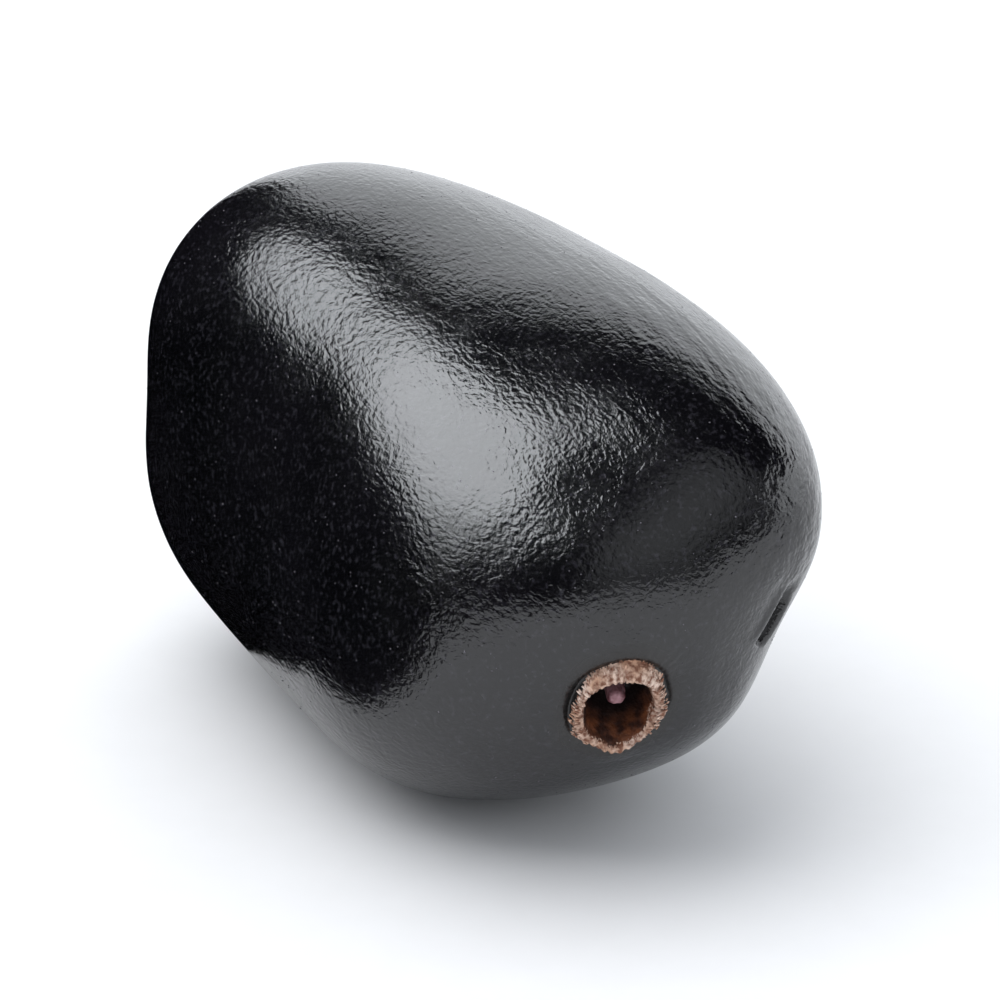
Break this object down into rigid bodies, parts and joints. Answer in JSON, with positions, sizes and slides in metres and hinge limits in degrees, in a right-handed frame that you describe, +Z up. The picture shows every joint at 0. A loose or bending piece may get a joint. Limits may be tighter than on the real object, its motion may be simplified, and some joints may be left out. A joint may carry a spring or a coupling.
{
  "type": "jamun fruit",
  "caption": "Ripe jamun, a plump blunt-ended black plum-like fruit lying on its side, with a small corky calyx cup at one end and a stem scar at the other.",
  "frame": {"origin": "On the surface the fruit rests on, below the middle of its bounding box", "axes": "+X along the fruit towards the calyx end, +Z up, +Y across the fruit; the calyx cup faces +X, a little towards -Y and down"},
  "size_m": [0.0324, 0.0194, 0.0211],
  "materials": {
    "skin": "waxy near-black fruit skin, semi-gloss"
  },
  "bodies": {
    "root": {"fruit": "skin"}
  },
  "joints": []
}
